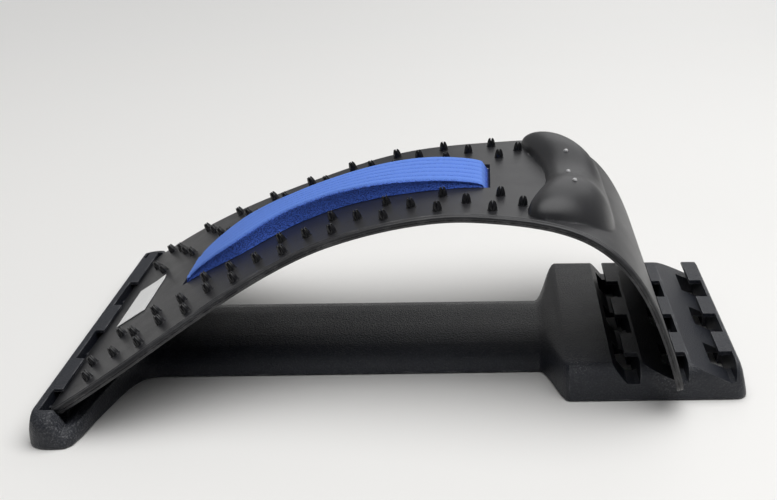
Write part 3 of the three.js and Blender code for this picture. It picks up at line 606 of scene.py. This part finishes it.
def edge_group():
    """Edge wear: where the rounded normal leaves the true one, broken up by noise."""
    tree, start, end = group("edge_wear", [
        ("Reach", "NodeSocketFloat", 0.0012), ("Patchiness", "NodeSocketFloat", 90.0)],
        [("Mask", "NodeSocketFloat")])
    soft = add(tree, "ShaderNodeBevel", {"Radius": start.outputs["Reach"]}, samples=4)
    true = tree.nodes.new("ShaderNodeNewGeometry").outputs["Normal"]
    turn = add(tree, "ShaderNodeVectorMath", {0: soft.outputs[0], 1: true}, operation="DOT_PRODUCT")
    edge = add(tree, "ShaderNodeMapRange", {
        "Value": turn.outputs["Value"], "From Min": 0.995, "From Max": 0.90}).outputs[0]
    place = tree.nodes.new("ShaderNodeTexCoord").outputs["Object"]
    patch = add(tree, "ShaderNodeTexNoise", {
        "Vector": place, "Scale": start.outputs["Patchiness"], "Detail": 5.0, "Roughness": 0.65})
    broken = add(tree, "ShaderNodeMapRange", {
        "Value": patch.outputs["Fac"], "From Min": 0.48, "From Max": 0.66}).outputs[0]
    tree.links.new(math_node(tree, "MULTIPLY", edge, broken), end.inputs["Mask"])
    return tree


def scuff_and_glint_group():
    """A patch of fine scratches and specks that fade with distance from a centre: scuff marks in some places,
    painted glints on a rounded edge in others.
    """
    tree, start, end = group("scuff_and_glint_patch", [
        ("Centre", "NodeSocketVector", (0, 0, 0)), ("Reach", "NodeSocketFloat", 0.012)],
        [("Mask", "NodeSocketFloat")])
    place = tree.nodes.new("ShaderNodeTexCoord").outputs["Object"]
    away = add(tree, "ShaderNodeVectorMath", {0: place, 1: start.outputs["Centre"]}, operation="DISTANCE")
    far = math_node(tree, "DIVIDE", away.outputs["Value"], start.outputs["Reach"])
    near = add(tree, "ShaderNodeMapRange", {"Value": far, "From Min": 1.0, "From Max": 0.1},
               interpolation_type="SMOOTHSTEP").outputs[0]
    specks = add(tree, "ShaderNodeTexNoise", {
        "Vector": place, "Scale": 900.0, "Detail": 4.0, "Roughness": 0.75}).outputs["Fac"]
    bright = add(tree, "ShaderNodeMapRange", {"Value": specks, "From Min": 0.52, "From Max": 0.68}).outputs[0]
    tree.links.new(math_node(tree, "MULTIPLY", near, bright), end.inputs["Mask"])
    return tree


def use(tree, made_group, inputs=None):
    """One use of a node group in a material."""
    made = add(tree, "ShaderNodeGroup", node_tree=made_group)
    for key, value in (inputs or {}).items():
        made.inputs[key].default_value = value
    return made.outputs


def surface(name, roughness, **settings):
    """A material with one plain shader, whose constant sockets are set here."""
    material = bpy.data.materials.new(name)
    material.use_nodes = True
    tree = material.node_tree
    shader = tree.nodes["Principled BSDF"]
    shader.inputs["Roughness"].default_value = roughness
    for key, value in settings.items():
        shader.inputs[key.replace("_", " ")].default_value = value
    return material, tree, shader


def blend_colour(tree, share, first, second):
    """The first colour at 0 and the second at 1."""
    made = add(tree, "ShaderNodeMix", data_type="RGBA")
    for key, value in ((0, share), (6, first), (7, second)):
        if isinstance(value, bpy.types.NodeSocket):
            tree.links.new(value, made.inputs[key])
        else:
            made.inputs[key].default_value = value
    return made.outputs[2]


def scale_value(tree, value, low, high):
    """A value from 0 to 1, drawn out from low to high."""
    return add(tree, "ShaderNodeMapRange", {"Value": value, "To Min": low, "To Max": high}).outputs[0]


def relief(tree, shader, height, distance, strength=1.0):
    """Bump from a height, with its depth in metres."""
    bump = add(tree, "ShaderNodeBump", {"Height": height, "Distance": distance, "Strength": strength})
    tree.links.new(bump.outputs[0], shader.inputs["Normal"])


GRAIN = grain_group()
EDGE_WEAR = edge_group()
SCUFF_AND_GLINT = scuff_and_glint_group()


def moulded_plastic(name, dark, pale, fineness, depth, roughness, speckle, scuffs_and_glints, glint=None):
    """Grained black plastic with pale specks, a slow mottle, edge wear, and pale speckled patches that are
    scuff marks in some places and painted glints in others; where a glint attribute is given, those points
    are painted pale grey as glints.
    """
    material, tree, shader = surface(name, roughness)
    grain = use(tree, GRAIN, {"Fineness": fineness})
    wear = use(tree, EDGE_WEAR)["Mask"]
    # the pale patches join the edge wear: some are scuff marks, some are painted glints
    for centre, reach in scuffs_and_glints:
        patch = use(tree, SCUFF_AND_GLINT, {"Centre": centre, "Reach": reach})["Mask"]
        wear = math_node(tree, "MAXIMUM", wear, patch)
    body = blend_colour(tree, grain["Mottle"], [c * 0.8 for c in dark] + [1], [c * 1.25 for c in dark] + [1])
    speck = add(tree, "ShaderNodeMapRange", {
        "Value": grain["Height"], "From Min": 0.5, "From Max": 0.72}).outputs[0]
    body = blend_colour(tree, math_node(tree, "MULTIPLY", speck, speckle), body, [*pale, 1])
    wear_and_glint_colour = blend_colour(tree, math_node(tree, "MULTIPLY", wear, 0.8), body, [*pale, 1])
    if glint:
        # where the glint attribute is 1, on the studs, the colour is blended to pale grey: a painted glint
        stud_glint_share = add(tree, "ShaderNodeAttribute", attribute_name=glint).outputs["Fac"]
        wear_and_glint_colour = blend_colour(tree, stud_glint_share, wear_and_glint_colour, (0.5, 0.5, 0.5, 1))
    tree.links.new(wear_and_glint_colour, shader.inputs["Base Color"])
    shine = scale_value(tree, grain["Mottle"], roughness - 0.07, roughness + 0.07)
    tree.links.new(shine, shader.inputs["Roughness"])
    relief(tree, shader, grain["Height"], depth)
    return material


def foam_material():
    """Blue foam: a pale skin on the ridged top and deep porous cut sides, with painted shade: darker in the
    grooves, fading to the side colour where the top dips into a slot, and near black on the tails in the
    slots.
    """
    material, tree, shader = surface("blue_foam", 0.85)
    place = tree.nodes.new("ShaderNodeTexCoord").outputs["Object"]
    skin = add(tree, "ShaderNodeAttribute", attribute_name="skin").outputs["Fac"]
    cells = add(tree, "ShaderNodeTexVoronoi", {"Vector": place, "Scale": 1400.0}).outputs["Distance"]
    fine = add(tree, "ShaderNodeTexNoise", {"Vector": place, "Scale": 1500.0, "Detail": 4.0}).outputs["Fac"]
    pores = add(tree, "ShaderNodeMapRange", {"Value": cells, "From Min": 0.1, "From Max": 0.55}).outputs[0]
    side = blend_colour(tree, pores, (0.007, 0.025, 0.18, 1), (0.06, 0.15, 0.68, 1))
    top = blend_colour(tree, fine, (0.10, 0.215, 0.66, 1), (0.125, 0.26, 0.75, 1))
    skin_colour_with_shade = blend_colour(tree, skin, side, top)
    # the tails in the slots are painted near black: painted shade
    slot_painted_shade = math_node(tree, "MULTIPLY", skin, -1.0, clamp=True)
    tree.links.new(blend_colour(tree, slot_painted_shade, skin_colour_with_shade, (0.002, 0.006, 0.03, 1)), shader.inputs["Base Color"])
    calm = math_node(tree, "SUBTRACT", 1.0, math_node(tree, "MULTIPLY", skin, 0.85))
    relief(tree, shader, math_node(tree, "MULTIPLY", math_node(tree, "ADD", pores, fine), calm), 0.0006)
    return material


def rubber_material(name, colour, roughness):
    """Black rubber with a faint uneven gloss."""
    material, tree, shader = surface(name, roughness)
    grain = use(tree, GRAIN, {"Fineness": 700.0, "Slow Fineness": 150.0})
    tree.links.new(blend_colour(tree, grain["Mottle"], [*colour, 1], [c * 1.8 for c in colour] + [1]),
                   shader.inputs["Base Color"])
    shine = scale_value(tree, grain["Mottle"], roughness - 0.06, roughness + 0.1)
    tree.links.new(shine, shader.inputs["Roughness"])
    relief(tree, shader, grain["Height"], 0.00002)
    return material


def paper_material():
    """Plain white paper with faint fibres and a little dirt."""
    material, tree, shader = surface("blank_paper", 0.7)
    grain = use(tree, GRAIN, {"Fineness": 900.0, "Slow Fineness": 120.0})
    tree.links.new(blend_colour(tree, grain["Mottle"], (0.72, 0.72, 0.71, 1), (0.84, 0.84, 0.83, 1)),
                   shader.inputs["Base Color"])
    relief(tree, shader, grain["Height"], 0.00003)
    return material


# ---------------------------------------------------------------- stage
def make_stage():
    """A pale floor that glows to camera rays more and more away from the object, a painted brightening of the
    backdrop, a world that is pale behind the object and dim before it, and two soft lamps.
    """
    scene = bpy.context.scene
    scene.view_settings.view_transform = "Standard"
    mesh = bpy.data.meshes.new("floor")
    mesh.from_pydata([(-6, -6, 0), (6, -6, 0), (6, 6, 0), (-6, 6, 0)], [], [(0, 1, 2, 3)])
    floor = bpy.data.objects.new("floor", mesh)
    scene.collection.objects.link(floor)
    material, tree, shader = surface("pale_floor", 0.6)
    shader.inputs["Base Color"].default_value = (0.86, 0.85, 0.83, 1)
    shader.inputs["Specular IOR Level"].default_value = 0.2
    # the floor glows to camera rays only, from nothing at 0.3 m from the object up to 0.4 at 2.2 m: painted
    # brightness, not light
    place = tree.nodes.new("ShaderNodeTexCoord").outputs["Object"]
    away = add(tree, "ShaderNodeVectorMath", {0: place, 1: (0.05, 0.0, 0.0)}, operation="DISTANCE")
    far = add(tree, "ShaderNodeMapRange", {
        "Value": away.outputs["Value"], "From Min": 0.3, "From Max": 2.2, "To Max": 0.4}).outputs[0]
    seen = tree.nodes.new("ShaderNodeLightPath").outputs["Is Camera Ray"]
    shader.inputs["Emission Color"].default_value = (0.95, 0.95, 0.94, 1)
    tree.links.new(math_node(tree, "MULTIPLY", far, seen), shader.inputs["Emission Strength"])
    mesh.materials.append(material)
    world = bpy.data.worlds.new("studio")
    scene.world = world
    world.use_nodes = True
    sky = world.node_tree
    toward = sky.nodes.new("ShaderNodeTexCoord").outputs["Generated"]
    behind = add(sky, "ShaderNodeVectorMath", {0: toward, 1: (0, 1, 0)}, operation="DOT_PRODUCT")
    share = add(sky, "ShaderNodeMapRange", {
        "Value": behind.outputs["Value"], "From Min": -0.7, "From Max": 0.5}).outputs[0]
    sky.links.new(blend_colour(sky, share, (0.60, 0.62, 0.66, 1), (1.15, 1.15, 1.15, 1)),
                  sky.nodes["Background"].inputs["Color"])
    world.node_tree.nodes["Background"].inputs["Strength"].default_value = 0.22
    for name, place, size, power in (
            ("top_light", (0.28, -0.1, 1.3), 1.8, 21.5), ("back_light", (0.5, 1.6, 0.9), 1.4, 3.5)):
        lamp = bpy.data.lights.new(name, "AREA")
        lamp.shape = "DISK"
        lamp.size = size
        lamp.energy = power
        holder = bpy.data.objects.new(name, lamp)
        holder.matrix_world = Matrix.Translation(place) @ (
            Vector((0, 0, 0.05)) - Vector(place)).to_track_quat("-Z", "Y").to_matrix().to_4x4()
        scene.collection.objects.link(holder)


# ---------------------------------------------------------------- base
def base_piece(material):
    """The base moulding: a merged copy of the CAD mesh with every edge rounded."""
    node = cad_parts["base_moulding"]
    mesh = node.data.copy()
    mesh.name = "base_shell"
    weld = bmesh.new()
    weld.from_mesh(mesh)
    bmesh.ops.remove_doubles(weld, verts=weld.verts, dist=2e-6)
    bmesh.ops.dissolve_limit(weld, angle_limit=math.radians(0.5), verts=weld.verts, edges=weld.edges)
    weld.to_mesh(mesh)
    weld.free()
    mesh.materials.clear()
    mesh.materials.append(material)
    made = bpy.data.objects.new("base_shell", mesh)
    bpy.context.scene.collection.objects.link(made)
    bevel = made.modifiers.new("rounded_edges", "BEVEL")
    bevel.width = 0.0007
    bevel.segments = 3
    bevel.limit_method = "ANGLE"
    bevel.angle_limit = math.radians(32)
    bevel.harden_normals = True
    mesh.polygons.foreach_set("use_smooth", np.ones(len(mesh.polygons), bool))
    mesh.set_sharp_from_angle(angle=math.radians(32))
    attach(made, "base")
    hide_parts("base_moulding")
    return made


# ---------------------------------------------------------------- the whole object
make_camera()
make_stage()
# on the base the first two pale patches are painted glints on the front edge of the notched block, and the
# third is a scuff mark on the seat block
base_plastic = moulded_plastic(
    "base_plastic", (0.007, 0.009, 0.015), (0.22, 0.22, 0.23), 1000.0, 0.0007, 0.40, 0.11,
    [((0.098, -0.074, 0.018), 0.014), ((0.150, -0.080, 0.015), 0.016), ((-0.170, -0.118, 0.012), 0.026)])
plate_plastic = moulded_plastic(
    "plate_plastic", (0.013, 0.013, 0.015), (0.16, 0.16, 0.16), 1400.0, 0.0001, 0.38, 0.05,
    [((0.15, -0.09, 0.012), 0.01)], glint="stud")
nub_rubber = rubber_material("nub_rubber", (0.005, 0.005, 0.006), 0.20)
foot_rubber = rubber_material("foot_rubber", (0.02, 0.02, 0.02), 0.8)
foam = foam_material()
paper = paper_material()

base_piece(base_plastic)
plate_parts = [plate_skin(), *studs()]
# the studs carry 1 in the stud attribute, which paints them pale grey as glints
stud_glint_mask = np.repeat([0, 1, 1, 1], [len(points) for points, _ in plate_parts])
piece("arched_plate", plate_parts, plate_plastic, "arch", "plate_plastic", "arch_plate",
      sharp=28, attribute=("stud", stud_glint_mask))
pad_points, pad_faces, pad_skin_and_shade = pad_skin()
pad = piece("ridged_foam_strip", [(pad_points, pad_faces)], foam, "arch", "foam", "foam_strip",
            sharp=50, attribute=("skin", pad_skin_and_shade))
piece("blank_label_paper", [label_skin()], paper, "arch", "label_paper", "blank_label")
make_nubs(nub_rubber)
for name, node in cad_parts.items():
    if name.startswith("foot_"):
        node.data.materials.clear()
        node.data.materials.append(foot_rubber)
